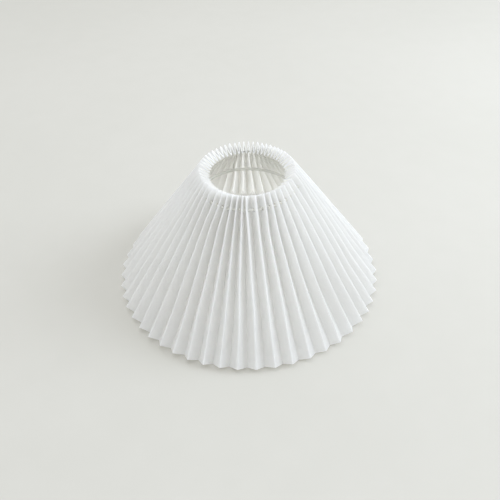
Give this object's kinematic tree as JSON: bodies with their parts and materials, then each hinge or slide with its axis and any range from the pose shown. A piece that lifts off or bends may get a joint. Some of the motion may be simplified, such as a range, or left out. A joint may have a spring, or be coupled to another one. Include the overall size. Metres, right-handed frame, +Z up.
{
  "type": "lamp shade",
  "caption": "Pleated cone lamp shade gathered by a drawcord at the neck, with a wire carrier and fitter ring inside that it lifts off.",
  "frame": {"origin": "on the shade's axis, at the level of the lowest corners of the bottom edge, where the shade stands", "axes": "+Z up along the shade's axis; -Y towards the front; the glued lap is at the +X side, a little behind"},
  "size_m": [0.2796, 0.2796, 0.1345],
  "materials": {
    "pleated_cloth": "matt off-white cloth laminated to a stiff translucent backing",
    "cord": "white braided cotton",
    "wire": "thin off-white lacquer over steel wire",
    "fitter": "off-white lacquer over pressed steel"
  },
  "bodies": {
    "carrier": {"carrier_ring": "wire", "fitter_ring": "fitter", "hanger_hook_1": "wire", "hanger_hook_2": "wire", "hanger_hook_3": "wire", "carrier_arm_1": "wire", "carrier_arm_2": "wire", "carrier_arm_3": "wire"},
    "cover": {"pleated_sheet": "pleated_cloth", "drawcord": "cord"}
  },
  "joints": [
    {"name": "cover_lift", "type": "slide", "parent": "carrier", "child": "cover", "axis": [0, 0, 1], "range_m": [0, 0.13]}
  ]
}
